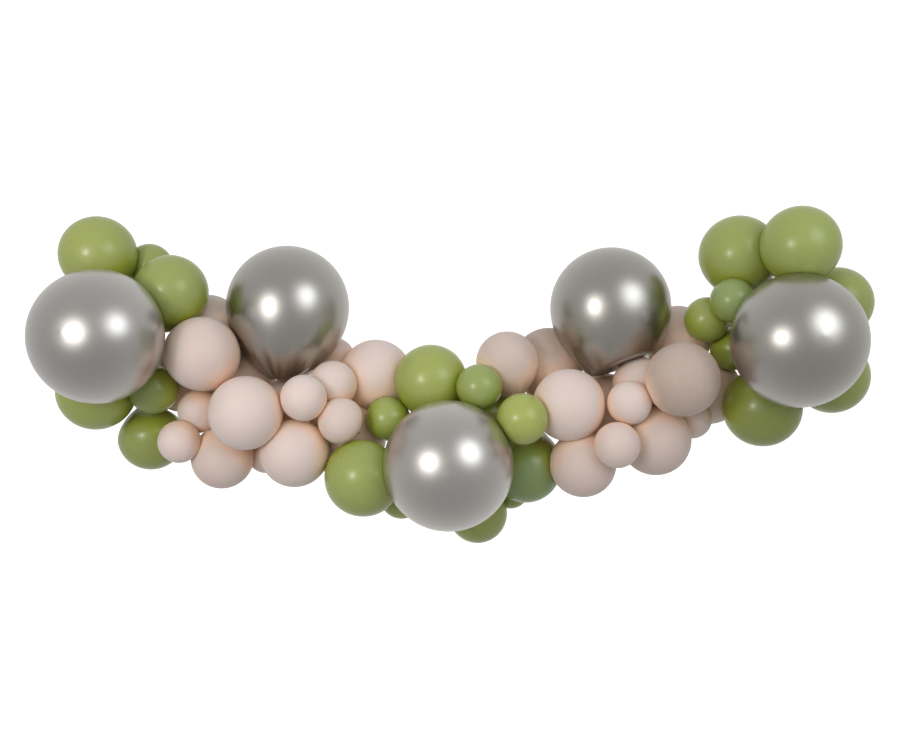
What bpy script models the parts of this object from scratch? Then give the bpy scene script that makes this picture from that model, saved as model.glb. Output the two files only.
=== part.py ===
# Balloon garland: a swag of latex balloons pressed together and fixed flat to a wall.
# Metres, +Z up. The wall is the plane y = 0 and the garland stands out of it towards -Y.
# The origin is on the wall, in the middle of the flat of one of the rear balloons.

import math
from collections import namedtuple

import bmesh
import bpy
import numpy as np
from mathutils import Vector

# Driving dimensions of the swag. Its line is a parabola, lowest at the middle.
SWAG_SPAN = 1.97
SWAG_SAG = 0.33
BIG_WIDTH = 0.34
MEDIUM_WIDTH = 0.20
LITTLE_WIDTH = 0.12
NECKS_OUT = 0.12  # the necks gather on a line this far in front of the wall
VIEW_DISTANCE = 3.045  # the layout below is as seen from this far in front of the wall
VIEW_HEIGHT = 0.238  # height of that eye over the lowest point of the swag line

# How the balloons lie against each other and against the wall
CONTACT_PRESS = 0.10  # how deep two balloons press into each other, as a share of their radii
WALL_PRESS = 0.12  # how deep a rear balloon is pressed flat on the wall, as a share of its radius
CONTACT_GAP = 0.0003  # air left between two pressed faces
NECK_ROOM = 0.001  # air left around a knot and tail
VISIBLE_LEAN = -0.35  # necks point no nearer to the viewer than this
NECK_TRIES = 1500  # directions tried for each neck
NECK_TUCKS = (1.0, 0.95, 0.90, 0.85, 0.80, 0.75)  # a neck side may be drawn in to these shares of its length
TUCK_COST = 0.8  # how much turning away is taken before a neck is drawn in
SIGHT_COST = 1.5  # and before a knot is let show past the balloons in front of it
SETTLING_STEPS = 40
OUT_STEP = 0.001  # steps in which balloons that touch nothing are brought out

# The origin is on the wall, behind the centre of this balloon
ORIGIN_BALLOON = "green_centre_back"

# The tied end of a medium balloon
KNOT_RADIUS = 0.0060
WAIST_RADIUS = 0.0040
LIP_RADIUS = 0.0088
TAIL_LENGTH = 0.0200  # from the knot to the rolled lip
WAIST_AT = 0.35  # place of the waist along the tail
TAPER_POWER = 0.85  # how full the neck side is

WELD_DISTANCE = 0.00001
SMOOTH_ANGLE = 50  # degrees, past which an edge stays sharp

Kind = namedtuple("Kind", "width sides crown_rings neck_rings stretch knot waist lip tail")


def size_of_balloon(width, sides, crown_rings, neck_rings, stretch):
    """One size of balloon, whose tied end grows with the square root of the width.

    stretch is the length of the neck side, and neck_rings lie along it, as shares of the radius.
    """
    tie = math.sqrt(width / MEDIUM_WIDTH)
    ends = (KNOT_RADIUS * tie, WAIST_RADIUS * tie, LIP_RADIUS * tie, TAIL_LENGTH * tie)
    return Kind(width, sides, crown_rings, neck_rings, stretch, *ends)


BIG = size_of_balloon(BIG_WIDTH, 16, 4, (0.30, 0.55, 0.75, 0.90), 1.40)
MEDIUM = size_of_balloon(MEDIUM_WIDTH, 12, 3, (0.45, 0.78), 1.28)
LITTLE = size_of_balloon(LITTLE_WIDTH, 10, 3, (0.60,), 1.22)

Latex = namedtuple("Latex", "name colour roughness metallic")
CHROME = Latex("chrome_latex", (0.36, 0.36, 0.34), 0.20, 1.0)
GREEN = Latex("green_latex", (0.27, 0.35, 0.11), 0.38, 0.0)
BLUSH = Latex("blush_latex", (0.72, 0.60, 0.54), 0.55, 0.0)


class Balloon(namedtuple("Balloon", "name latex kind place rise fill")):
    """One balloon and where the layout has it.

    place: along the swag line, from -1 at its left end to 1 at its right end
    rise: height over the swag line, in medium balloons
    fill: how full it is blown, as a share of its kind's width
    """

    @property
    def width(self):
        return self.fill * self.kind.width

    @property
    def across(self):
        return self.place * SWAG_SPAN / 2

    @property
    def up(self):
        return swag_height(self.place) + self.rise * MEDIUM_WIDTH


# Every balloon, from the wall outwards, in the order in which they are laid on each other
BALLOONS = [
    # Rear rows: on the wall, or in the gaps between those on it
    Balloon("blush_left_back_high", BLUSH, MEDIUM, -0.711, 0.925, 0.960),
    Balloon("blush_left_back", BLUSH, MEDIUM, -0.619, 0.300, 1.010),
    Balloon("blush_left_back_low", BLUSH, MEDIUM, -0.308, 0.030, 1.140),
    Balloon("blush_right_back_high", BLUSH, MEDIUM, 0.289, 1.125, 0.990),
    Balloon("blush_right_back", BLUSH, MEDIUM, 0.459, 0.250, 1.000),
    Balloon("blush_right_back_upper", BLUSH, MEDIUM, 0.670, 0.875, 0.930),
    Balloon("blush_right_back_outer", BLUSH, MEDIUM, 0.761, -0.100, 0.930),
    Balloon("green_right_small_back", GREEN, LITTLE, 0.857, 0.400, 1.133),
    Balloon("green_left_small_back", GREEN, LITTLE, -0.883, 1.375, 1.050),
    Balloon("blush_left_small_deep", BLUSH, LITTLE, -0.795, -0.060, 1.380),
    Balloon("blush_left_small_high", BLUSH, LITTLE, -0.340, 1.150, 0.950),
    Balloon("blush_left_small_rear", BLUSH, LITTLE, -0.487, 0.300, 1.100),
    Balloon("blush_right_small_rear", BLUSH, LITTLE, 0.560, 0.430, 1.250),
    Balloon("blush_left_small_back", BLUSH, LITTLE, -0.538, -0.500, 1.000),
    Balloon("green_centre_small_back", GREEN, LITTLE, 0.178, -0.625, 0.900),
    Balloon("blush_right_small_outer", BLUSH, LITTLE, 0.711, -0.375, 0.917),
    Balloon("green_centre_back", GREEN, MEDIUM, 0.112, 0.450, 0.960),
    Balloon("green_centre_small_low", GREEN, LITTLE, -0.142, -0.700, 1.033),
    # Middle rows, with the wide balloons at both ends and the two chrome ones that stand up
    Balloon("green_left_top", GREEN, MEDIUM, -1.036, 1.063, 1.030),
    Balloon("green_left_outer", GREEN, MEDIUM, -1.041, -0.925, 1.070),
    Balloon("green_left_inner", GREEN, MEDIUM, -0.822, 1.175, 1.000),
    Balloon("green_left_bottom", GREEN, MEDIUM, -0.878, -1.075, 0.930),
    Balloon("green_left_small_inner", GREEN, LITTLE, -0.873, -0.375, 1.117),
    Balloon("blush_left_bottom", BLUSH, MEDIUM, -0.670, -0.845, 0.850),
    Balloon("blush_left_low", BLUSH, MEDIUM, -0.457, -0.375, 0.930),
    Balloon("blush_left_inner", BLUSH, MEDIUM, -0.218, 1.000, 1.010),
    Balloon("green_centre_top", GREEN, MEDIUM, -0.056, 1.000, 0.980),
    Balloon("green_centre_bottom", GREEN, MEDIUM, 0.081, -0.925, 0.830),
    Balloon("green_centre_left", GREEN, MEDIUM, -0.254, -0.500, 1.040),
    Balloon("green_centre_right", GREEN, MEDIUM, 0.223, -0.325, 0.980),
    Balloon("blush_right_inner", BLUSH, MEDIUM, 0.168, 1.225, 0.840),
    Balloon("blush_right_bottom", BLUSH, MEDIUM, 0.391, -0.450, 0.890),
    Balloon("blush_right_low", BLUSH, MEDIUM, 0.604, -0.450, 0.950),
    Balloon("green_right_inner", GREEN, MEDIUM, 0.850, 1.635, 1.060),
    Balloon("green_right_outer", GREEN, MEDIUM, 1.139, 0.000, 0.938),
    Balloon("green_right_top", GREEN, MEDIUM, 1.032, 1.206, 1.018),
    Balloon("green_right_low", GREEN, MEDIUM, 1.122, -1.000, 1.000),
    Balloon("green_right_bottom", GREEN, MEDIUM, 0.919, -0.775, 1.050),
    Balloon("chrome_left_middle", CHROME, BIG, -0.477, 1.700, 0.988),
    Balloon("chrome_right_middle", CHROME, BIG, 0.472, 1.700, 0.965),
    # Front row
    Balloon("blush_left_outer", BLUSH, MEDIUM, -0.731, 0.500, 1.015),
    Balloon("blush_left_front", BLUSH, MEDIUM, -0.602, -0.060, 0.970),
    Balloon("blush_right_front", BLUSH, MEDIUM, 0.350, 0.450, 0.960),
    Balloon("blush_right_outer", BLUSH, MEDIUM, 0.685, 0.250, 0.960),
    Balloon("blush_left_small_outer", BLUSH, LITTLE, -0.736, -0.325, 1.000),
    Balloon("blush_left_small_bottom", BLUSH, LITTLE, -0.797, -0.925, 0.950),
    Balloon("blush_left_small_upper", BLUSH, LITTLE, -0.345, 0.750, 1.083),
    Balloon("blush_left_small_front", BLUSH, LITTLE, -0.431, 0.450, 1.017),
    Balloon("blush_left_small_inner", BLUSH, LITTLE, -0.320, 0.250, 1.033),
    Balloon("green_centre_small_left", GREEN, LITTLE, -0.183, 0.400, 1.017),
    Balloon("blush_right_small_upper", BLUSH, LITTLE, 0.528, 0.225, 0.967),
    Balloon("blush_right_small_lower", BLUSH, LITTLE, 0.492, -0.325, 1.000),
    Balloon("green_centre_small_top", GREEN, LITTLE, 0.086, 0.900, 1.017),
    Balloon("green_centre_small_right", GREEN, LITTLE, 0.213, 0.375, 1.117),
    Balloon("green_right_small_inner", GREEN, LITTLE, 0.756, 0.950, 1.017),
    Balloon("green_right_small_upper", GREEN, LITTLE, 0.832, 1.025, 0.983),
    Balloon("green_right_small_lower", GREEN, LITTLE, 0.832, 0.320, 1.017),
    Balloon("chrome_centre", CHROME, BIG, -0.005, -0.225, 0.988),
    Balloon("chrome_left", CHROME, BIG, -1.038, -0.130, 1.012),
    Balloon("chrome_right", CHROME, BIG, 1.026, -0.146, 1.000),
]

# The two chrome balloons that stand up off the swag show their necks, hanging down.
# Two little ones have theirs turned in behind them, out of sight.
CHOSEN_NECKS = {
    "chrome_left_middle": (-0.04, -0.25, -1.00),
    "chrome_right_middle": (-0.035, -0.15, -1.00),
    "green_centre_small_left": (-0.03, 0.80, -0.60),
    "green_right_small_inner": (0.60, 0.77, 0.20),
}


def swag_height(place):
    """Height of the swag line over its lowest point, at a place from -1 to 1 along it."""
    return SWAG_SAG * place ** 2


def on_sight_line(balloon, out):
    """The place at which a balloon is seen at its layout place, when it is this far off the wall."""
    nearness = 1 - out / VIEW_DISTANCE
    height = VIEW_HEIGHT + (balloon.up - VIEW_HEIGHT) * nearness
    return np.array([balloon.across * nearness, -out, height])


def resting_out(balloon, centre, laid):
    """How far out a balloon rests, on the wall or on those already laid behind it."""
    radius = balloon.width / 2
    out = radius * (1 - WALL_PRESS)
    for other, place in laid:
        rest = (1 - CONTACT_PRESS) * (radius + other.width / 2)
        aside = math.hypot(centre[0] - place[0], centre[2] - place[2])
        if aside < rest:
            out = max(out, -place[1] + math.sqrt(rest ** 2 - aside ** 2))
    return out


def air_between(places, others, radii, other_radii):
    """The gap between each place and each other one, as a share of their radii. Negative where pressed."""
    apart = np.linalg.norm(places[:, None] - others[None], axis=2)
    return apart / (radii[:, None] + other_radii[None]) - 1


def sight_places(outs):
    """All the balloons' places at these distances from the wall."""
    return np.array([on_sight_line(balloon, out) for balloon, out in zip(BALLOONS, outs)])


def touching_group(touching, first):
    """Which balloons are joined to the first one by balloons that touch."""
    group = np.arange(len(touching)) == first
    while (grown := touching[group].any(axis=0)).sum() > group.sum():
        group = grown
    return group


def bring_out(outs):
    """Bring each group that touches no other balloon out along its sight lines, up to the next one."""
    radii = np.array([balloon.width / 2 for balloon in BALLOONS])
    for _ in BALLOONS:
        places = sight_places(outs)
        touching = air_between(places, places, radii, radii) < 0
        held = touching_group(touching, len(BALLOONS) - 1)
        if held.all():
            break
        group = touching_group(touching, int(np.argmin(held)))
        steps = np.arange(0, outs.max(), OUT_STEP)
        tried = [sight_places(outs + step * group)[group] for step in steps]
        air = [air_between(moved, places[held], radii[group], radii[held]).min() for moved in tried]
        close = np.flatnonzero(np.array(air) <= max(min(air), -CONTACT_PRESS))
        outs = outs + steps[close[0]] * group
    return outs


def lay_balloons():
    """Push each balloon back along its sight line until it rests on the wall or on another.

    Gives each name's centre, and how far the origin is from the lowest point of the swag line.
    """
    laid = []
    for balloon in BALLOONS:
        out = balloon.width / 2
        for _ in range(SETTLING_STEPS):
            out = (out + resting_out(balloon, on_sight_line(balloon, out), laid)) / 2
        laid.append((balloon, on_sight_line(balloon, out)))
    places = sight_places(bring_out(np.array([-place[1] for _, place in laid])))
    centres = {balloon.name: place for balloon, place in zip(BALLOONS, places)}
    shift = centres[ORIGIN_BALLOON] * (1, 0, 1)
    return {name: centre - shift for name, centre in centres.items()}, shift


Neck = namedtuple("Neck", "way length")


def neck_outline(balloon, length):
    """The turned outline, as (radius, distance towards the neck), from the crown to the tail."""
    kind = balloon.kind
    radius = balloon.width / 2
    points = [(0, -radius)]
    for ring in range(1, kind.crown_rings + 1):
        angle = math.pi / 2 * ring / kind.crown_rings
        points.append((radius * math.sin(angle), -radius * math.cos(angle)))
    for share in kind.neck_rings:
        points.append((radius * (1 - share ** 2) ** TAPER_POWER, share * length))
    points.append((kind.knot, length))
    points.append((kind.waist, length + WAIST_AT * kind.tail))
    points.append((kind.lip, length + kind.tail))
    points.append((0, length + kind.tail))
    return points


def tail_reach(kind, length, lean):
    """How far the knot and tail reach along a direction at this cosine to the neck."""
    side = np.sqrt(np.maximum(0, 1 - lean ** 2))
    knot = length * lean + kind.knot * side
    return np.maximum(knot, (length + kind.tail) * lean + kind.lip * side)


def reach(balloon, neck, direction):
    """How far the whole balloon reaches from its centre along a direction."""
    if neck is None:
        return balloon.width / 2
    tail = tail_reach(balloon.kind, neck.length, np.dot(neck.way, direction))
    return max(balloon.width / 2, float(tail))


def crossing(balloon, other, apart):
    """Where two pressed balloons meet: their spheres cross at d = (D^2 + a^2 - b^2) / 2D."""
    radius, other_radius = balloon.width / 2, other.width / 2
    return (apart ** 2 + radius ** 2 - other_radius ** 2) / (2 * apart)


def dividing_offset(balloon, neck, other, other_neck, apart, direction):
    """Distance from a balloon's centre to the flat that parts it from a neighbour.

    Pressed balloons meet where their spheres cross. Others are parted half way across the air.
    """
    radius, other_radius = balloon.width / 2, other.width / 2
    if apart < radius + other_radius:
        return crossing(balloon, other, apart)
    near = reach(balloon, neck, direction)
    far = apart - reach(other, other_neck, -direction)
    return min(max((near + far) / 2, radius), apart - other_radius)


def even_directions(count):
    """Directions spread evenly over the sphere, on a golden spiral."""
    index = np.arange(count) + 0.5
    height = 1 - 2 * index / count
    turn = math.pi * (1 + math.sqrt(5)) * index
    flat = np.sqrt(1 - height ** 2)
    return np.stack([flat * np.cos(turn), flat * np.sin(turn), height], axis=1)


def neck_limits(balloon, centres, necks):
    """For each neighbour and the wall: its direction, and how far a tail may reach that way."""
    centre = centres[balloon.name]
    limits = [(np.array([0, 1.0, 0]), -centre[1])]
    for other in BALLOONS:
        if other.name == balloon.name:
            continue
        way = centres[other.name] - centre
        apart = np.linalg.norm(way)
        way = way / apart
        if apart < (balloon.width + other.width) / 2:
            limit = crossing(balloon, other, apart)
        else:
            limit = apart - reach(other, necks.get(other.name), -way)
        limits.append((way, limit))
    return limits


def knots_out_of_sight(balloon, tips, centres):
    """Which of these tail ends lie behind a balloon, seen from the front."""
    hidden = np.zeros(len(tips), bool)
    for other in BALLOONS:
        centre = centres[other.name]
        aside = np.hypot(tips[:, 0] - centre[0], tips[:, 2] - centre[2])
        covered = aside < other.width / 2 - balloon.kind.lip
        hidden |= covered & (tips[:, 1] > centre[1])
    return hidden


def free_neck(balloon, wanted, tries, limits, centres):
    """The neck nearest the wanted way that has room for its knot and tail."""
    best_score, best_neck = -math.inf, None
    for tuck in NECK_TUCKS:
        length = tuck * balloon.kind.stretch * balloon.width / 2
        room = np.full(len(tries), math.inf)
        for way, limit in limits:
            room = np.minimum(room, limit - NECK_ROOM - tail_reach(balloon.kind, length, tries @ way))
        tips = centres[balloon.name] + tries * (length + balloon.kind.tail)
        sight = SIGHT_COST * knots_out_of_sight(balloon, tips, centres)
        score = tries @ wanted - TUCK_COST * (1 - tuck) + sight
        score = np.where(room > 0, score, room - NECK_TRIES)
        pick = int(np.argmax(score))
        if score[pick] > best_score:
            best_score, best_neck = score[pick], Neck(tries[pick], length)
    return best_neck


def point_necks(centres, shift):
    """Turn each neck in towards the swag line as far as there is room.

    The chosen necks come first, and then the widest balloons.
    """
    necks = {}
    for balloon in BALLOONS:
        if balloon.name in CHOSEN_NECKS:
            way = np.array(CHOSEN_NECKS[balloon.name])
            length = balloon.kind.stretch * balloon.width / 2
            necks[balloon.name] = Neck(way / np.linalg.norm(way), length)
    tries = even_directions(NECK_TRIES)
    tries = tries[tries[:, 1] > VISIBLE_LEAN]
    for balloon in sorted(BALLOONS, key=lambda one: -one.width):
        if balloon.name in necks:
            continue
        centre = centres[balloon.name]
        gather_height = swag_height(2 * (centre[0] + shift[0]) / SWAG_SPAN) - shift[2]
        wanted = np.array([0, -NECKS_OUT - centre[1] + CONTACT_GAP, gather_height - centre[2]])
        wanted = wanted / np.linalg.norm(wanted)
        limits = neck_limits(balloon, centres, necks)
        necks[balloon.name] = free_neck(balloon, wanted, tries, limits, centres)
    return necks


def make_latex(latex):
    """One plain material for each latex."""
    material = bpy.data.materials.new(latex.name)
    material.use_nodes = True
    shader = material.node_tree.nodes["Principled BSDF"]
    shader.inputs["Base Color"].default_value = (*latex.colour, 1)
    shader.inputs["Roughness"].default_value = latex.roughness
    shader.inputs["Metallic"].default_value = latex.metallic
    return material


def turned_mesh(balloon, neck, collection):
    """The balloon before it is pressed: its outline turned about the local Z axis, crown up."""
    outline = neck_outline(balloon, neck.length)
    mesh = bpy.data.meshes.new(balloon.name + "_outline")
    edges = [(i, i + 1) for i in range(len(outline) - 1)]
    mesh.from_pydata([(radius, 0, -along) for radius, along in outline], edges, [])
    guide = bpy.data.objects.new(balloon.name + "_outline", mesh)
    collection.objects.link(guide)
    screw = guide.modifiers.new("Turn", "SCREW")
    screw.axis = "Z"
    screw.steps = balloon.kind.sides
    screw.render_steps = balloon.kind.sides
    screw.use_merge_vertices = True
    screw.merge_threshold = WELD_DISTANCE
    bpy.context.view_layer.update()
    evaluated = guide.evaluated_get(bpy.context.evaluated_depsgraph_get())
    turned = bpy.data.meshes.new_from_object(evaluated)
    bpy.data.objects.remove(guide)
    bpy.data.meshes.remove(mesh)
    return turned


def press(mesh, flats):
    """Draw every point in towards the centre until it is inside all flats: v * min(1, d / n.v)."""
    for vertex in mesh.verts:
        share = 1.0
        for way, limit in flats:
            along = way.dot(vertex.co)
            if along > limit:
                share = min(share, limit / along)
        vertex.co *= share


def cut_wall_flat(mesh, way, distance):
    """Cut the side that is pressed on the wall off square, and close it with one flat face."""
    geometry = mesh.verts[:] + mesh.edges[:] + mesh.faces[:]
    bmesh.ops.bisect_plane(mesh, geom=geometry, plane_co=way * distance, plane_no=way, clear_outer=True)
    rim = [edge for edge in mesh.edges if edge.is_boundary]
    bmesh.ops.edgeloop_fill(mesh, edges=rim)


def make_balloon(balloon, centres, necks, material, collection):
    """Turn, place and press one balloon."""
    centre = centres[balloon.name]
    neck = necks[balloon.name]
    turn = Vector((0, 0, -1)).rotation_difference(Vector(neck.way))
    back = turn.inverted()
    flats = []
    for other in BALLOONS:
        if other.name == balloon.name:
            continue
        way = centres[other.name] - centre
        apart = np.linalg.norm(way)
        way = way / apart
        offset = dividing_offset(balloon, neck, other, necks[other.name], apart, way)
        flats.append((back @ Vector(way), offset - CONTACT_GAP / 2))
    mesh = turned_mesh(balloon, neck, collection)
    shape = bmesh.new()
    shape.from_mesh(mesh)
    bmesh.ops.remove_doubles(shape, verts=shape.verts, dist=WELD_DISTANCE)
    press(shape, flats)
    if -centre[1] < balloon.width / 2:
        cut_wall_flat(shape, back @ Vector((0, 1, 0)), -centre[1])
    bmesh.ops.recalc_face_normals(shape, faces=shape.faces)
    shape.to_mesh(mesh)
    shape.free()
    mesh.shade_smooth()
    mesh.set_sharp_from_angle(angle=math.radians(SMOOTH_ANGLE))
    mesh.materials.clear()
    mesh.materials.append(material)
    mesh.name = balloon.name
    piece = bpy.data.objects.new(balloon.name, mesh)
    piece.location = centre
    piece.rotation_mode = "QUATERNION"
    piece.rotation_quaternion = turn
    collection.objects.link(piece)


def main():
    for old in list(bpy.data.objects):
        bpy.data.objects.remove(old)
    garland = bpy.data.collections.new("balloon_garland")
    bpy.context.scene.collection.children.link(garland)
    materials = {latex.name: make_latex(latex) for latex in (CHROME, GREEN, BLUSH)}
    centres, shift = lay_balloons()
    necks = point_necks(centres, shift)
    for balloon in BALLOONS:
        make_balloon(balloon, centres, necks, materials[balloon.latex.name], garland)


main()
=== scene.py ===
import math
import bpy
import numpy as np
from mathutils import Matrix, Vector


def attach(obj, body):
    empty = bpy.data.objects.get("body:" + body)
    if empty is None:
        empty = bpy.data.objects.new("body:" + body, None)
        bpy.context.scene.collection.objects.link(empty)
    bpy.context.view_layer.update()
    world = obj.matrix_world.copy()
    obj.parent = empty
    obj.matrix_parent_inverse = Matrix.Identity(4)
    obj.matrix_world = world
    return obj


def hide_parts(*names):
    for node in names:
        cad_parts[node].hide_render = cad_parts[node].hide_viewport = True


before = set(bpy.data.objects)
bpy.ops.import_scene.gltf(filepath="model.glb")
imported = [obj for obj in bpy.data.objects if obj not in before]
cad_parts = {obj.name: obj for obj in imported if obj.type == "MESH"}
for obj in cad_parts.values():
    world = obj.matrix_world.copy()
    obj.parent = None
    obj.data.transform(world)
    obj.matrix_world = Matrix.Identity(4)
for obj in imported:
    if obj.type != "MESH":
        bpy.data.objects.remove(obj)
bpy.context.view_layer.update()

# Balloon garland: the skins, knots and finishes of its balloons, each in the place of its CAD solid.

# The three sizes of balloon. upTo is the width in metres up to which a balloon counts as that size, and
# stretch is the length of its neck side, as a share of the radius.
sizes = {
    "little": {"upTo": 0.155, "nominal": 0.12, "stretch": 1.22, "pleats": 7},
    "medium": {"upTo": 0.240, "nominal": 0.20, "stretch": 1.28, "pleats": 9},
    "big": {"upTo": 0.500, "nominal": 0.34, "stretch": 1.40, "pleats": 11},
}
rings = {
    "little": {"around": 76, "crown": 24, "neck": 28},
    "medium": {"around": 100, "crown": 30, "neck": 34},
    "big": {"around": 144, "crown": 44, "neck": 46},
}

# The tied end of a medium balloon, in metres; on the others it goes with the square root of the size.
# What is a share is a share of the tail's length or of the width named.
tiedEnd = {
    "medium": 0.20,
    "knot": 0.0060,
    "waist": 0.0040,
    "lip": 0.0088,
    "tail": 0.0200,
    "bead": 0.0009,  # thickness of the rolled lip
    "tailRings": 20,
    "beadRings": 8,
    "mouthRings": 7,
    "intoKnot": 0.55,  # share of the knot's width at which the neck side runs into it
    "bulgeAt": 0.10,
    "bulgeWide": 0.10,
    "waistShare": 0.75,  # how narrow the tail is beside the waist
    "flareFrom": 0.25,
    "flarePower": 1.6,
    "mouthDepth": 0.35,
    "mouthPower": 0.6,
    "mouthPlace": 0.3,  # how far place falls again inside the mouth
}

skin = {
    "taper": 0.85,  # how full the neck side is
    "tucks": (1.0, 0.95, 0.90, 0.85, 0.80, 0.75),  # shares to which a neck side may be shortened
    "gap": 0.00015,  # air left on each side of a contact
    "rounding": 0.02,  # how far the skin rounds into a contact, as a share of the radius
    "nearFlat": 0.3,  # flats farther off than this share of the radius beyond the skin are left out
    "facing": 0.05,  # share of a flat's distance that a point has to reach towards it to be pressed
    "farAway": 9.0,  # metres, the limit on a point that a flat doesn't press
    # the most that the occlusion behind the painted crevice shade may reach
    "closeMost": 1.5,
    "nubRadius": 0.055,  # the thick spot at the crown, as a share of the radius
    "nubHeight": 0.00048,
}
offAxis = [0.31, 0.17, 0.94]  # a way that no neck has, to find the ways across a neck

# How the frame's solids are read
reading = {
    "tailShare": 0.15,  # how near an end of the longest line corners are counted, as a share of it
    "crownShare": 0.6,  # corners farther from the tail than this share of the farthest are the crown's
    "spheres": 1500,  # fours of corners that are tried for a sphere
    "flatFour": 1e-9,  # fours with a smaller determinant are too flat
    "onSphere": 0.00005,  # metres
    "outside": 5,  # what a corner outside the sphere costs
    "firstCone": 0.09,  # radians about a way in which corners are counted
    "cones": (0.13, 0.10, 0.10, 0.10, 0.10),  # radians about the tied end, one after the other
    "neckSide": (0.2, 0.99),  # shares of the length between which the outline is compared
    "ways": 400,  # ways on a spiral
    "turn": 2.4,  # radians from one way to the next
    "nearSpirals": ((0.01, 0.0005),),  # each is (how wide the spiral is, tolerance in metres)
    "wideSpirals": ((0.30, 0.003), (0.08, 0.0012), (0.02, 0.0005)),
}


# Two ways across a way w: a = w x offAxis, made one long, and w x a
def waysAcross(way):
    aside = np.cross(way, offAxis)
    aside = aside / np.linalg.norm(aside)
    return aside, np.cross(way, aside)


# Distinct corner points of a CAD node
def nodePoints(node):
    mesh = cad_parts[node].data
    points = np.empty(len(mesh.vertices) * 3, np.float32)
    mesh.vertices.foreach_get("co", points)
    return np.unique(np.round(points.reshape(-1, 3).astype(float), 6), axis=0)


# The tail is the end of the longest line through the points that has the most points about it
def tailEnd(points):
    apart = np.linalg.norm(points[:, None] - points[None], axis=2)
    one, other = np.unravel_index(np.argmax(apart), apart.shape)
    near = reading["tailShare"] * apart[one, other]
    return points[one if (apart[one] < near).sum() > (apart[other] < near).sum() else other]


# Sphere through four points: |p|^2 = 2 c.p + k for each of them, solved for many fours at once.
# The crown's own sphere is the one with the most corners on it and none outside it.
def crownSphere(points, tail, draw):
    far = np.linalg.norm(points - tail, axis=1)
    crown = points[far > reading["crownShare"] * far.max()]
    fours = crown[np.array([draw.permutation(len(crown))[:4] for _ in range(reading["spheres"])])]
    left = np.concatenate([2 * fours, np.ones((len(fours), 4, 1))], axis=2)
    solid = np.abs(np.linalg.det(left)) > reading["flatFour"]
    found = np.linalg.solve(left[solid], (fours[solid] ** 2).sum(axis=2)[..., None])[..., 0]
    centres = found[:, :3]
    radii = np.sqrt(np.maximum(found[:, 3] + (centres ** 2).sum(axis=1), 0))
    off = np.linalg.norm(crown[None] - centres[:, None], axis=2) - radii[:, None]
    tolerance = reading["onSphere"]
    score = (np.abs(off) < tolerance).sum(axis=1) - reading["outside"] * (off > tolerance).sum(axis=1)
    best = int(np.argmax(score))
    return centres[best], radii[best]


# The neck is the way and length with the most corners on the outline R (1 - t^2)^p, where t is the corner's
# share of the length. The ways tried lie on a spiral about a first way, and then on smaller ones about the
# best: way n is sqrt(n / count) of the spread away from it, and turned by n times the same angle.
def fitNeck(spokes, radius, full, way, spirals):
    for spread, tolerance in spirals:
        step = np.arange(reading["ways"])
        aside, across = waysAcross(way)
        wide = spread * np.sqrt(step / reading["ways"])[:, None]
        angle = reading["turn"] * step
        ways = way + wide * (np.cos(angle)[:, None] * aside + np.sin(angle)[:, None] * across)
        ways = ways / np.linalg.norm(ways, axis=1)[:, None]
        along = ways @ spokes.T
        ring = np.sqrt(np.maximum((spokes ** 2).sum(axis=1) - along ** 2, 0))
        scores = []
        for tuck in skin["tucks"]:
            t = along / (full * tuck)
            off = ring - radius * np.maximum(1 - t * t, 0) ** skin["taper"]
            onNeck = (t > reading["neckSide"][0]) * (t < reading["neckSide"][1])
            scores.append((np.exp(-(off / tolerance) ** 2) * onNeck).sum(axis=1))
        tuck, one = np.unravel_index(np.argmax(scores), (len(skin["tucks"]), reading["ways"]))
        way = ways[one]
    return np.max(scores), way, full * skin["tucks"][tuck]


# What the frame says of one balloon: its sphere, the way its neck points and how long its neck side is.
# Pressing only moves a corner towards the centre, so the mean direction of the tied end's small rings is
# still the neck's. Where they are crushed flat, a fit that starts with a wide spiral finds more corners.
def readBalloon(node, draw):
    points = nodePoints(node)
    centre, radius = crownSphere(points, tailEnd(points), draw)
    size = next(name for name in sizes if 2 * radius < sizes[name]["upTo"])
    tie = math.sqrt(sizes[size]["nominal"] / tiedEnd["medium"])
    ways = points - centre
    ways = ways / np.linalg.norm(ways, axis=1)[:, None]
    way = ways[np.argmax((ways @ ways.T > math.cos(reading["firstCone"])).sum(axis=1))]
    for cone in reading["cones"]:
        ring = ways[ways @ way > math.cos(cone)]
        way = ring.mean(axis=0) / np.linalg.norm(ring.mean(axis=0))
    full = sizes[size]["stretch"] * radius
    fits = [fitNeck(points - centre, radius, full, way, reading[spirals])
            for spirals in ("nearSpirals", "wideSpirals")]
    way, length = max(fits, key=lambda fit: fit[0])[1:]
    return {
        "centre": centre,
        "radius": radius,
        "size": size,
        "tie": tie,
        "way": way,
        "length": length,
    }


# How far a balloon reaches from its centre along a direction, with its knot and tail
def reachAlong(balloon, direction):
    lean = float(balloon["way"] @ direction)
    side = math.sqrt(max(0.0, 1 - lean * lean))
    tie = balloon["tie"]
    knot = balloon["length"] * lean + tiedEnd["knot"] * tie * side
    lip = (balloon["length"] + tiedEnd["tail"] * tie) * lean + tiedEnd["lip"] * tie * side
    return max(balloon["radius"], knot, lip)


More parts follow.
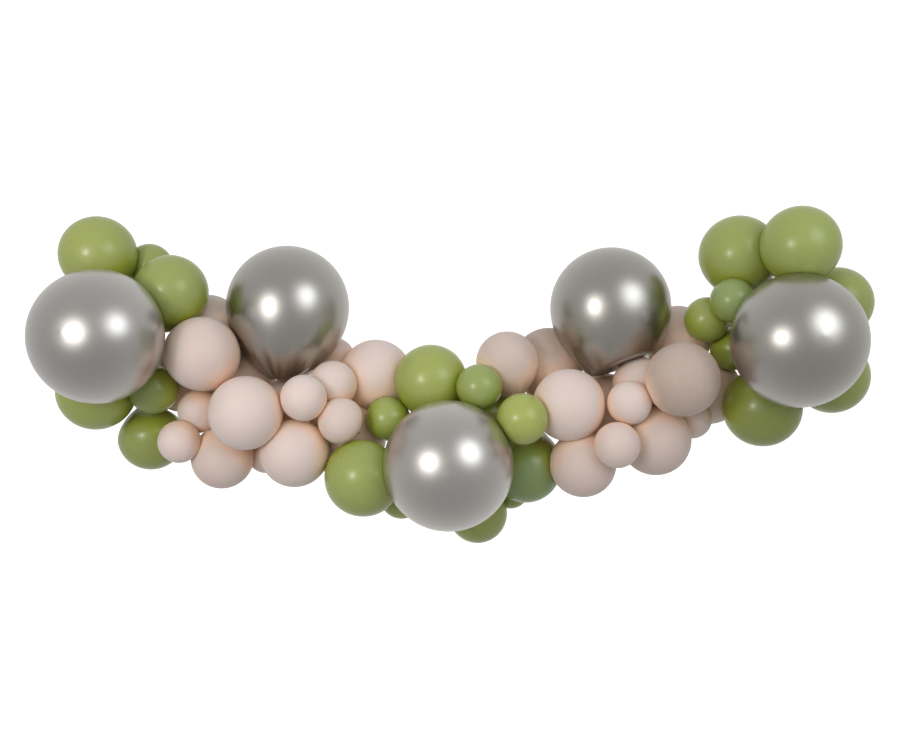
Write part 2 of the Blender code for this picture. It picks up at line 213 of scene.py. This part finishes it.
# The flats that part a balloon from its neighbours: where two spheres cross, d = (D^2 + a^2 - b^2) / 2D,
# or else half way across the air between them; and the wall y = 0.
def contactFlats(name):
    balloon = balloons[name]
    flats = []
    if -balloon["centre"][1] < balloon["radius"]:
        flats.append((np.array([0, 1.0, 0]), -balloon["centre"][1]))
    for other in balloons:
        if other == name:
            continue
        way = balloons[other]["centre"] - balloon["centre"]
        apart = np.linalg.norm(way)
        way = way / apart
        a, b = balloon["radius"], balloons[other]["radius"]
        if apart < a + b:
            offset = (apart ** 2 + a ** 2 - b ** 2) / (2 * apart)
        else:
            near = reachAlong(balloon, way)
            far = apart - reachAlong(balloons[other], -way)
            offset = min(max((near + far) / 2, a), apart - b)
        if offset < reachAlong(balloon, way) + skin["nearFlat"] * a:
            flats.append((way, offset - skin["gap"]))
    return flats


# Smallest of two lengths with a rounded corner: min(a, b) - h^2 k / 4 where h = max(k - |a - b|, 0) / k
def softMin(a, b, k):
    h = np.maximum(k - np.abs(a - b), 0) / k
    return np.minimum(a, b) - h * h * k / 4


# Outline of the skin from the crown to the tail, as (radius, distance towards the neck, place): a quarter
# circle, then R (1 - t^2)^p down to the knot, a bulge for the knot, a flaring tail and a rolled lip.
# place is 0 at the crown, 1 at the widest, 2 at the knot and 3 at the lip.
def skinOutline(balloon):
    count = rings[balloon["size"]]
    radius, length, tie = balloon["radius"], balloon["length"], balloon["tie"]
    knot, waist, lip = (tiedEnd[part] * tie for part in ("knot", "waist", "lip"))
    tail, bead = tiedEnd["tail"] * tie, tiedEnd["bead"] * tie

    turn = np.linspace(0, 1, count["crown"] + 1)[:-1]
    angle = turn * math.pi / 2
    nub = skin["nubHeight"] * tie * np.exp(-(angle / skin["nubRadius"]) ** 2)
    crown = np.stack([radius * np.sin(angle), -radius * np.cos(angle) - nub, turn])

    t = np.sin(np.linspace(0, math.pi / 2, count["neck"] + 1))[:-1]
    side = radius * (1 - t ** 2) ** skin["taper"]
    side = np.sqrt(side ** 2 + (tiedEnd["intoKnot"] * knot) ** 2 * t ** 8)
    neck = np.stack([side, t * length, 1 + t])

    u = np.linspace(0, 1, tiedEnd["tailRings"])
    bulge = np.exp(-((u - tiedEnd["bulgeAt"]) / tiedEnd["bulgeWide"]) ** 2)
    narrow = waist * tiedEnd["waistShare"]
    start = tiedEnd["flareFrom"]
    opening = np.clip((u - start) / (1 - start), 0, 1) ** tiedEnd["flarePower"]
    flare = narrow + (lip - bead - narrow) * opening
    end = np.stack([flare * (1 - bulge) + knot * bulge, length + u * (tail - bead), 2 + u])

    turn = np.linspace(-math.pi / 2, math.pi, tiedEnd["beadRings"] + 1)[1:]
    rim = length + tail - bead
    roll = np.stack([lip - bead + bead * np.cos(turn), rim + bead * np.sin(turn), np.full(len(turn), 3.0)])

    v = np.linspace(0, 1, tiedEnd["mouthRings"] + 1)[1:]
    inside = (lip - 2 * bead) * (1 - v) ** tiedEnd["mouthPower"]
    mouth = np.stack([inside, rim - tiedEnd["mouthDepth"] * tail * v, 3 - tiedEnd["mouthPlace"] * v])
    return np.concatenate([crown, neck, end, roll, mouth], axis=1)


# Pleats, knot and tail. Depths are shares of the width there, and places are those of the outline.
folds = {
    "pleatDepth": 0.10,
    "pleatsFrom": 1.45,  # place on the neck side where the pleats start
    "crossPleats": (0.5, 4),  # a second set: its depth beside the first, and how many more there are
    "knotAt": 2.10,
    "knotWide": 0.09,
    "twist": 0.16,
    "twistTurns": 34,  # radians of twist for each step of place
    "tailFrom": 0.3,  # how far past the neck's end the tail is fully ruffled
    "ruffles": ((0.12, 5), (0.06, 8)),  # depth and number
    "flatten": 0.28,
    "tailWidth": 0.93,
    "lean": 0.22,  # how far the lip hangs to one side, as a share of the tail's length
    "leanFrom": 2.2,
    "pressedTo": 1.95,  # place up to which the skin rounds into contacts
}


# The whole skin as a grid of rings: each ring of the outline is turned about the neck, gathered into pleats
# near the knot, twisted in the knot and flattened in the tail. Then each point v is drawn in towards the
# centre to v min(1, d / n.v) for every flat, with a rounded corner.
def skinGrid(name, draw):
    balloon = balloons[name]
    pleats = sizes[balloon["size"]]["pleats"]
    ring, along, place = (row[:, None] for row in skinOutline(balloon))
    phi = np.linspace(0, 2 * math.pi, rings[balloon["size"]]["around"], endpoint=False)[None, :]

    start = folds["pleatsFrom"]
    gather = np.clip((place - start) / (2 - start), 0, 1) ** 2 * (place <= 2.0)
    phase = draw.uniform(0, 2 * math.pi, 3)
    depth, more = folds["crossPleats"]
    pleated = np.cos(pleats * phi + phase[0]) + depth * np.cos((pleats + more) * phi + phase[1])
    wide = ring * (1 + folds["pleatDepth"] * gather * pleated)

    inTail = np.clip((place - 2.0) / folds["tailFrom"], 0, 1)
    atKnot = np.exp(-((place - folds["knotAt"]) / folds["knotWide"]) ** 2)
    twist = folds["twist"] * np.cos(2 * phi + folds["twistTurns"] * (place - 2.0) + phase[2])
    (coarse, few), (fine, many) = folds["ruffles"]
    ruffle = coarse * inTail * np.cos(few * phi + phase[1]) + fine * inTail * np.cos(many * phi + phase[0])
    wide = wide * (1 + atKnot * twist + ruffle * (1 - atKnot))
    squeeze = 1 - folds["flatten"] * inTail * (1 - atKnot)
    lean = folds["lean"] * np.clip(place - folds["leanFrom"], 0, 1) * tiedEnd["tail"] * balloon["tie"]

    axis = balloon["way"]
    aside, across = waysAcross(axis)
    roll = draw.uniform(0, 2 * math.pi)
    slim = np.where(inTail > 0, folds["tailWidth"], 1.0)
    x = wide * np.cos(phi) / squeeze * slim + lean * math.cos(roll)
    y = wide * np.sin(phi) * squeeze + lean * math.sin(roll)
    spot = x[..., None] * aside + y[..., None] * across + (along + 0 * phi)[..., None] * axis

    far = np.linalg.norm(spot, axis=2)
    limit = far.copy()
    body = place[:, 0] < folds["pressedTo"]
    k = skin["rounding"] * balloon["radius"]
    for way, offset in contactFlats(name):
        reach = spot @ way
        cut = offset * far / np.maximum(reach, 1e-9)
        cut = np.where(reach > skin["facing"] * offset, cut, skin["farAway"])
        limit[body] = softMin(limit[body], cut[body], k)
        limit[~body] = np.minimum(limit[~body], cut[~body])
    spot = spot * (limit / np.maximum(far, 1e-9))[..., None] + balloon["centre"]
    return spot, place + 0 * phi


# How shut in each point is by the other balloons, which sets the painted crevice shade: the sum over them
# of (r / d)^2 times the cosine of the angle between the way to their centre and the way out of this
# balloon, and the limit given in skin at most
def closeness(name, spot):
    out = spot - balloons[name]["centre"]
    out = out / np.maximum(np.linalg.norm(out, axis=2), 1e-9)[..., None]
    total = np.zeros(spot.shape[:2])
    for other in balloons:
        if other == name:
            continue
        way = balloons[other]["centre"] - spot
        apart = np.maximum(np.linalg.norm(way, axis=2), balloons[other]["radius"])
        cosine = np.maximum((way * out).sum(axis=2) / apart, 0)
        total = total + cosine * (balloons[other]["radius"] / apart) ** 2
    return np.minimum(total, skin["closeMost"])


# Mesh of a closed grid: quads between rings, and the first and last ring closed to one point each
def gridMesh(name, spot, values):
    rows, around = spot.shape[:2]
    points = np.concatenate([spot[:1, 0], spot[1:-1].reshape(-1, 3), spot[-1:, 0]])
    first = 1 + np.arange(rows - 3)[:, None] * around
    here = first + np.arange(around)[None]
    there = first + (np.arange(around)[None] + 1) % around
    quads = np.stack([here, here + around, there + around, there], axis=2).reshape(-1, 4)
    ringStart, ringNext = 1 + np.arange(around), 1 + (np.arange(around) + 1) % around
    top = np.stack([np.zeros(around, int), ringStart, ringNext], axis=1)
    last = 1 + (rows - 3) * around
    bottom = np.stack([np.full(around, len(points) - 1), last + ringNext - 1, last + ringStart - 1], axis=1)
    mesh = bpy.data.meshes.new(name)
    mesh.from_pydata(points.tolist(), [], top.tolist() + quads.tolist() + bottom.tolist())
    for key, grid in values.items():
        flat = np.concatenate([grid[:1, 0], grid[1:-1].ravel(), grid[-1:, 0]])
        mesh.attributes.new(key, "FLOAT", "POINT").data.foreach_set("value", flat.astype(np.float32))
    mesh.shade_smooth()
    return mesh


# A node tree with short calls: add(type, inputs, settings) makes a node and links or sets its inputs
class Tree:
    def __init__(self, name):
        self.material = bpy.data.materials.new(name)
        self.material.use_nodes = True
        self.nodes = self.material.node_tree.nodes
        self.links = self.material.node_tree.links
        self.shader = self.nodes["Principled BSDF"]
        self.step = 0

    def add(self, kind, inputs=(), **settings):
        node = self.nodes.new(kind)
        self.step += 1
        node.location = (-220 * (1 + self.step % 6), -200 * (self.step // 6))
        for key, value in settings.items():
            setattr(node, key, value)
        for key, value in dict(inputs).items():
            self.join(node.inputs[key], value)
        return node

    def join(self, socket, value):
        if isinstance(value, bpy.types.NodeSocket):
            self.links.new(value, socket)
        elif isinstance(value, bpy.types.Node):
            self.links.new(next(one for one in value.outputs if one.enabled), socket)
        else:
            socket.default_value = value

    def math(self, operation, a, b=0.0):
        return self.add("ShaderNodeMath", {0: a, 1: b}, operation=operation)

    def mix(self, factor, a, b, blend="MIX"):
        node = self.add("ShaderNodeMix", {0: factor, 6: a, 7: b}, data_type="RGBA", blend_type=blend)
        return node.outputs[2]

    def ramp(self, value, low, high, start=0.0, end=1.0):
        node = self.add("ShaderNodeMapRange", {0: value, 1: start, 2: end, 3: low, 4: high})
        return node.outputs[0]

    def noise(self, scale, detail, roughness):
        where = self.add("ShaderNodeTexCoord").outputs["Object"]
        return self.add("ShaderNodeTexNoise", {"Vector": where, "Scale": scale, "Detail": detail,
                                               "Roughness": roughness}).outputs["Fac"]

    def value(self, name):
        return self.add("ShaderNodeAttribute", attribute_name=name).outputs["Fac"]


# Detail and roughness of each noise
noises = {"cloud": (3.0, 0.5), "fine": (4.0, 0.6), "grain": (3.0, 0.6), "wave": (1.0, 0.5)}

# Where in their range the clouds and the specks start and are full, and where the two attributes are full:
# place for the thick latex, and closeness for the painted crevice shade
ranges = {"cloud": (0.3, 0.7), "speck": (0.35, 0.75), "thickTo": 2.05, "closeTo": 1.2}


# One latex. Clouds and specks shift its colour a little. It is deeper in colour where it is thick, at the
# neck and tail. Where other balloons shut it in, it takes a painted crevice colour: painted shade on the
# chrome, and on the green and blush a more saturated, warmer colour that stands for light going through
# both skins and bouncing between them. Each balloon's own "shade" (-1 deep, 1 pale) is partly how far it
# was blown up and partly painted shade and light, and "cool" is a cooler tint of how far it was blown up.
def latex(name, look):
    tree = Tree(name)
    thick = tree.ramp(tree.value("place"), 0.0, 1.0, look["thickFrom"], ranges["thickTo"])
    cloud = tree.noise(look["cloudScale"], *noises["cloud"])
    fine = tree.noise(look["fineScale"], *noises["fine"])
    shade = tree.value("shade")
    tone = tree.mix(tree.ramp(cloud, 0.0, 1.0, *ranges["cloud"]), look["colour"], look["second"])
    tone = tree.mix(tree.math("MAXIMUM", shade, 0.0), tone, look["pale"])
    tone = tree.mix(tree.math("MAXIMUM", tree.math("MULTIPLY", shade, -1.0), 0.0), tone, look["deep"])
    tone = tree.mix(tree.value("cool"), tone, look["coolTone"])
    crevice_shade_amount = tree.ramp(tree.value("close"), 0.0, 1.0, look["closeFrom"], ranges["closeTo"])
    tone = tree.mix(crevice_shade_amount, tone, look["close"])
    tone = tree.mix(thick, tone, look["thick"])
    tone = tree.mix(tree.ramp(fine, 0.0, look["speckShare"], *ranges["speck"]), tone, look["speck"])
    tree.join(tree.shader.inputs["Base Color"], tone)
    uneven = tree.ramp(cloud, -look["roughSpread"], look["roughSpread"], *ranges["cloud"])
    rough = tree.math("ADD", uneven, look["rough"])
    rough = tree.math("ADD", rough, tree.math("MULTIPLY", thick, look["thickRough"]))
    tree.join(tree.shader.inputs["Roughness"], rough)
    grain = tree.noise(look["grainScale"], *noises["grain"])
    wave = tree.noise(look["waveScale"], *noises["wave"])
    height = tree.math("ADD", tree.math("MULTIPLY", grain, look["grainHeight"]),
                       tree.math("MULTIPLY", wave, look["waveHeight"]))
    bump = tree.add("ShaderNodeBump", {"Height": height, "Strength": 1.0, "Distance": 1.0})
    tree.join(tree.shader.inputs["Normal"], bump.outputs[0])
    for key, value in look["fixed"].items():
        tree.shader.inputs[key].default_value = value
    return tree.material


# In each look the crevice colour is painted shade, with light bounced between the balloons, and deep and
# pale are the colours that a balloon's shade draws it to, partly its own tone and partly painted shade and
# light.
greenLook = {
    "colour": (0.279, 0.326, 0.094, 1), "second": (0.264, 0.311, 0.092, 1),
    "pale": (0.390, 0.450, 0.105, 1), "deep": (0.185, 0.225, 0.055, 1),
    "coolTone": (0.200, 0.285, 0.120, 1),
    "close": (0.275, 0.325, 0.038, 1), "closeFrom": 0.45,
    "thick": (0.140, 0.185, 0.030, 1), "thickFrom": 1.35,
    "speck": (0.34, 0.42, 0.16, 1), "speckShare": 0.08, "cloudScale": 7.0, "fineScale": 60.0,
    "rough": 0.26, "roughSpread": 0.02, "thickRough": 0.12,
    "grainScale": 420.0, "grainHeight": 0.00002, "waveScale": 12.0, "waveHeight": 0.0003,
    "fixed": {"Subsurface Weight": 0.12, "Subsurface Radius": (0.8, 1.0, 0.3), "Subsurface Scale": 0.010,
              "Specular IOR Level": 0.45},
}
blushLook = {
    "colour": (0.655, 0.555, 0.520, 1), "second": (0.642, 0.540, 0.505, 1),
    "pale": (0.690, 0.605, 0.572, 1), "deep": (0.420, 0.335, 0.285, 1),
    "coolTone": (0.600, 0.525, 0.500, 1),
    "close": (0.790, 0.575, 0.435, 1), "closeFrom": 0.42,
    "thick": (0.480, 0.310, 0.220, 1), "thickFrom": 1.35,
    "speck": (0.72, 0.62, 0.56, 1), "speckShare": 0.08, "cloudScale": 6.0, "fineScale": 60.0,
    "rough": 0.52, "roughSpread": 0.03, "thickRough": 0.06,
    "grainScale": 420.0, "grainHeight": 0.00002, "waveScale": 11.0, "waveHeight": 0.0003,
    "fixed": {"Subsurface Weight": 0.55, "Subsurface Radius": (1.0, 0.40, 0.22), "Subsurface Scale": 0.020,
              "Specular IOR Level": 0.36},
}
chromeLook = {
    "colour": (0.500, 0.490, 0.468, 1), "second": (0.480, 0.474, 0.455, 1),
    "pale": (0.560, 0.545, 0.525, 1), "deep": (0.410, 0.400, 0.368, 1),
    "coolTone": (0.460, 0.470, 0.470, 1),
    "close": (0.420, 0.400, 0.350, 1), "closeFrom": 0.40,
    "thick": (0.300, 0.290, 0.265, 1), "thickFrom": 1.55,
    "speck": (0.57, 0.56, 0.54, 1), "speckShare": 0.10, "cloudScale": 5.0, "fineScale": 90.0,
    "rough": 0.32, "roughSpread": 0.015, "thickRough": 0.10,
    "grainScale": 520.0, "grainHeight": 0.0, "waveScale": 9.0, "waveHeight": 0.0003,
    "fixed": {"Metallic": 1.0},
}
looks = {"green": greenLook, "blush": blushLook, "chrome": chromeLook}
slots = {"green": "green_latex", "blush": "blush_latex", "chrome": "chrome_latex"}

# How each balloon differs from its fellows, as (shade, cool): shade is partly its own tone and partly
# painted shade and light, darker on balloons that lie in shade such as blush_right_outer and
# blush_right_back_high, and lighter and darker on the chromes as their reflections are; the rest differ by
# chance, up to chanceRange
chanceRange = {"shade": 0.2, "cool": 0.15}
toneAndShade = {
    "green_centre_small_right": (0.50, 0.0),
    "green_right_small_inner": (0.20, 0.0),
    "green_centre_right": (-0.25, 0.8),
    "green_right_small_upper": (0.1, 0.6),
    "green_left_small_inner": (-0.5, 0.2),
    "green_left_bottom": (-0.2, 0.0),
    "green_left_top": (0.15, 0.0),
    "green_centre_top": (0.3, 0.0),
    "green_centre_small_left": (0.3, 0.1),
    "green_centre_small_top": (0.2, 0.3),
    "green_right_bottom": (-0.75, 0.0),
    "chrome_left_middle": (-0.40, 0.0),
    "chrome_right_middle": (-0.60, 0.0),
    "chrome_centre": (0.95, 0.0),
    "chrome_right": (-0.50, 0.0),
    "chrome_left": (0.45, 0.1),
    "blush_left_small_front": (0.3, 0.0),
    "blush_left_bottom": (-0.25, 0.0),
    "blush_right_outer": (-0.85, 0.0),
    "blush_right_low": (-0.40, 0.0),
    "blush_right_bottom": (-0.30, 0.0),
    "blush_right_inner": (-0.45, 0.0),
    "blush_right_back_high": (-0.95, 0.0),
    "blush_right_small_lower": (-0.15, 0.0),
}


nodeNames = sorted(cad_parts)
balloons = {}
for index, name in enumerate(nodeNames):
    balloons[name] = readBalloon(name, np.random.default_rng(100 + index))
print(f"read {len(balloons)} balloons from the frame")

materials = {kind: latex(slots[kind], looks[kind]) for kind in looks}
print("latex finishes made")

for index, name in enumerate(nodeNames):
    chance = np.random.default_rng(500 + index)
    spot, place = skinGrid(name, chance)
    own = (chance.uniform(-chanceRange["shade"], chanceRange["shade"]),
           chance.uniform(0, chanceRange["cool"]))
    # shade is partly the balloon's own tone and partly painted shade and light
    shade, cool = toneAndShade.get(name, own)
    kind = name.split("_")[0]
    # The closeness of each point sets how much painted crevice shade it gets.
    mesh = gridMesh(name + "_skin", spot, {"place": place, "close": closeness(name, spot),
                                           "shade": shade + 0 * place, "cool": cool + 0 * place})
    mesh.materials.append(materials[kind])
    piece = bpy.data.objects.new(name + "_skin", mesh)
    bpy.context.scene.collection.objects.link(piece)
    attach(piece, "root")
    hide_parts(name)
print("balloon skins made")


# A pale floor that curves up all round into a pale backdrop: a straight run, a quarter circle and a
# straight run as (r, z), turned about the vertical. Only the camera sees it, so the chrome doesn't show it.
stage = {
    "floor": -1.30,
    "radius": 6.5,
    "bend": 2.0,
    "top": 6.0,
    "hub": 0.01,  # radius of the small hole in the middle
    "around": 96,
    "bendRings": 24,
    "colour": (0.5, 0.5, 0.5, 1),
    "rough": 0.9,
    "glow": 0.90,
}


def makeStage():
    turn = np.linspace(-math.pi / 2, 0, stage["bendRings"])
    bend = stage["bend"]
    r = np.concatenate([[stage["hub"]], stage["radius"] - bend + bend * np.cos(turn), [stage["radius"]]])
    z = np.concatenate([[0], bend + bend * np.sin(turn), [stage["top"]]]) + stage["floor"]
    phi = np.linspace(0, 2 * math.pi, stage["around"], endpoint=False)
    points = np.stack([r[:, None] * np.cos(phi), r[:, None] * np.sin(phi), z[:, None] + 0 * phi], axis=2)
    here = np.arange(len(r) - 1)[:, None] * len(phi) + np.arange(len(phi))
    there = np.arange(len(r) - 1)[:, None] * len(phi) + (np.arange(len(phi)) + 1) % len(phi)
    faces = np.stack([here, there, there + len(phi), here + len(phi)], axis=2).reshape(-1, 4)
    mesh = bpy.data.meshes.new("studio_floor")
    mesh.from_pydata(points.reshape(-1, 3).tolist(), [], faces.tolist())
    mesh.shade_smooth()
    floor = bpy.data.objects.new("studio_floor", mesh)
    bpy.context.scene.collection.objects.link(floor)
    material = bpy.data.materials.new("pale_floor")
    material.use_nodes = True
    shader = material.node_tree.nodes["Principled BSDF"]
    shader.inputs["Base Color"].default_value = stage["colour"]
    shader.inputs["Roughness"].default_value = stage["rough"]
    shader.inputs["Emission Color"].default_value = (1, 1, 1, 1)
    shader.inputs["Emission Strength"].default_value = stage["glow"]
    mesh.materials.append(material)
    floor.visible_glossy = False
    floor.visible_diffuse = False
    floor.visible_shadow = False


# Soft lamps, each aimed at the middle of the garland. A lamp is one disc in another, as (width, power),
# bright in the middle and fading outwards. The front lamp shapes the latex and isn't seen in the chrome.
garlandMiddle = (-0.1, -0.2, 0.1)
discGap = 0.02
lamps = {
    "key_lamp": {"at": (-1.9, -3.1, 0.45), "discs": ((0.36, 10), (1.1, 14), (2.4, 13)),
                 "colour": (1.0, 0.955, 0.925), "seen": True},
    "fill_lamp": {"at": (2.2, -3.0, 1.55), "discs": ((1.3, 4), (2.4, 24), (3.8, 14)),
                  "colour": (0.95, 0.97, 1.0), "seen": True},
    "front_lamp": {"at": (-0.9, -3.3, 1.0), "discs": ((2.6, 30),),
                   "colour": (1.0, 0.98, 0.95), "seen": False},
}

# The air's brightness before and behind the garland, and how much is added above and taken away below
air = {"front": 0.45, "back": 0.92, "rise": 0.08, "colour": (1.0, 0.985, 0.965, 1)}


def makeLamps():
    for name, lamp in lamps.items():
        aim = Vector(garlandMiddle) - Vector(lamp["at"])
        for index, (width, power) in enumerate(lamp["discs"]):
            light = bpy.data.lights.new(f"{name}_{index}", "AREA")
            light.shape = "DISK"
            light.size = width
            light.energy = power
            light.color = lamp["colour"]
            holder = bpy.data.objects.new(f"{name}_{index}", light)
            holder.location = Vector(lamp["at"]) - index * discGap * aim.normalized()
            holder.rotation_euler = aim.to_track_quat("-Z", "Y").to_euler()
            holder.visible_glossy = lamp["seen"]
            bpy.context.scene.collection.objects.link(holder)


# The air's strength along a direction is front + (back - front)(1 + y)^2 / 4 + rise z
def makeAir():
    world = bpy.data.worlds.new("studio_air")
    world.use_nodes = True
    nodes, links = world.node_tree.nodes, world.node_tree.links
    where = nodes.new("ShaderNodeTexCoord")
    parts = nodes.new("ShaderNodeSeparateXYZ")
    links.new(where.outputs["Generated"], parts.inputs[0])

    def step(operation, a, b):
        node = nodes.new("ShaderNodeMath")
        node.operation = operation
        for socket, value in zip(node.inputs, (a, b)):
            if isinstance(value, bpy.types.NodeSocket):
                links.new(value, socket)
            else:
                socket.default_value = value
        return node.outputs[0]

    behind = step("POWER", step("ADD", step("MULTIPLY", parts.outputs["Y"], 0.5), 0.5), 2.0)
    level = step("ADD", step("MULTIPLY", behind, air["back"] - air["front"]), air["front"])
    level = step("ADD", level, step("MULTIPLY", parts.outputs["Z"], air["rise"]))
    links.new(level, nodes["Background"].inputs["Strength"])
    nodes["Background"].inputs["Color"].default_value = air["colour"]
    bpy.context.scene.world = world


# The photograph's view: level, from about 3 m in front of the wall
camera = {"at": (-0.1073, -3.045, 0.1399), "lens": 42.0, "sensor": 36.0}


def makeCamera():
    data = bpy.data.cameras.new("camera")
    data.lens = camera["lens"]
    data.sensor_width = camera["sensor"]
    holder = bpy.data.objects.new("camera", data)
    holder.location = camera["at"]
    holder.rotation_euler = (math.pi / 2, 0, 0)
    bpy.context.scene.collection.objects.link(holder)
    bpy.context.scene.camera = holder
    bpy.context.scene.view_settings.view_transform = "Standard"


makeStage()
makeLamps()
makeAir()
makeCamera()
print("stage, lamps, air and camera made")
